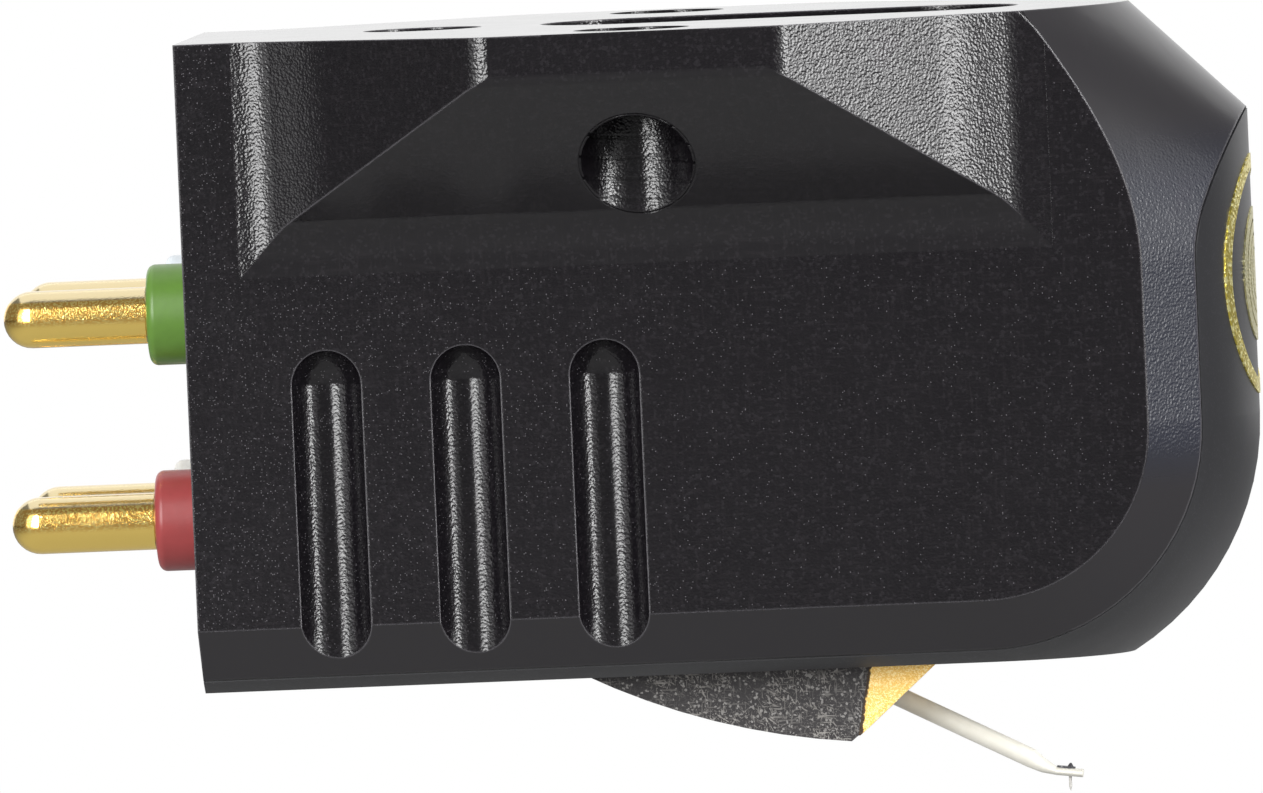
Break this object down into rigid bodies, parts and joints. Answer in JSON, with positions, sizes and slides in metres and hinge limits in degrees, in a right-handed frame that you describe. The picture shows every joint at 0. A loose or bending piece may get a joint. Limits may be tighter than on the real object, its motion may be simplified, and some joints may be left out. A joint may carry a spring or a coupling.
{
  "type": "phono cartridge",
  "caption": "Moving-coil phono cartridge with a machined eared body, grip grooves, rear terminal pins and a sprung cantilever and stylus.",
  "frame": {"origin": "midway between the two headshell fixing holes, on the mounting face", "axes": "+Z square out of the mounting face into the headshell, +X along the body to the nose, +Y to the left channel's side"},
  "size_m": [0.027, 0.017, 0.017],
  "materials": {
    "anodised_body": "fine bead-blasted black anodising",
    "satin_cover": "smooth satin grey-black anodising",
    "gold_inlay": "sparkling gold",
    "pale_gold_inlay": "turned pale gold",
    "gold_pin": "polished gold plating",
    "collar_green": "moulded, slightly glossy",
    "collar_red": "moulded, slightly glossy",
    "collar_blue": "moulded, slightly glossy",
    "collar_white": "moulded, slightly glossy",
    "plain_aluminium": "milled",
    "steel_screw": "turned",
    "black_composite": "rough with pale fibres",
    "gilt_iron": "grainy gold plating",
    "soft_iron": "ground",
    "magnet_plating": "nickel plated",
    "spring_wire": "drawn wire",
    "damper_rubber": "soft",
    "former_ceramic": "fine ceramic",
    "copper_winding": "enamelled copper",
    "cantilever_tube": "pale satin",
    "diamond": "polished",
    "dark_adhesive": "cured bead",
    "solder": "tinned"
  },
  "bodies": {
    "cartridge_body": {"main_body": "anodised_body", "front_cover": "satin_cover", "medallion_ring": "gold_inlay", "medallion_disc": "pale_gold_inlay", "terminal_pin_right_upper": "gold_pin", "terminal_pin_right_lower": "gold_pin", "terminal_pin_left_upper": "gold_pin", "terminal_pin_left_lower": "gold_pin", "pin_collar_green": "collar_green", "pin_collar_red": "collar_red", "pin_collar_blue": "collar_blue", "pin_collar_white": "collar_white", "generator_carrier": "plain_aluminium", "carrier_screw": "steel_screw", "generator_shroud": "black_composite", "front_pole_piece": "gilt_iron", "rear_pole_piece": "soft_iron", "magnet": "magnet_plating", "tie_wire": "spring_wire", "tie_wire_grub_screw": "steel_screw", "coil_leads": "copper_winding", "lead_solder": "solder"},
    "suspension": {"damper_ring": "damper_rubber"},
    "cantilever_assembly": {"coil_former": "former_ceramic", "coil_left": "copper_winding", "coil_right": "copper_winding", "cantilever": "cantilever_tube", "stylus": "diamond", "stylus_bond": "dark_adhesive"}
  },
  "joints": [
    {"name": "sideways_swing", "type": "hinge", "parent": "cartridge_body", "child": "suspension", "pos_m": [0.00281, 0, -0.01384], "axis": [0.4571, 0, 0.8894], "range_deg": [-3, 3], "stiffness_Nm_per_rad": 0.0024},
    {"name": "vertical_swing", "type": "hinge", "parent": "suspension", "child": "cantilever_assembly", "pos_m": [0.00281, 0, -0.01384], "axis": [0, 1, 0], "range_deg": [-4, 2], "stiffness_Nm_per_rad": 0.0024}
  ]
}
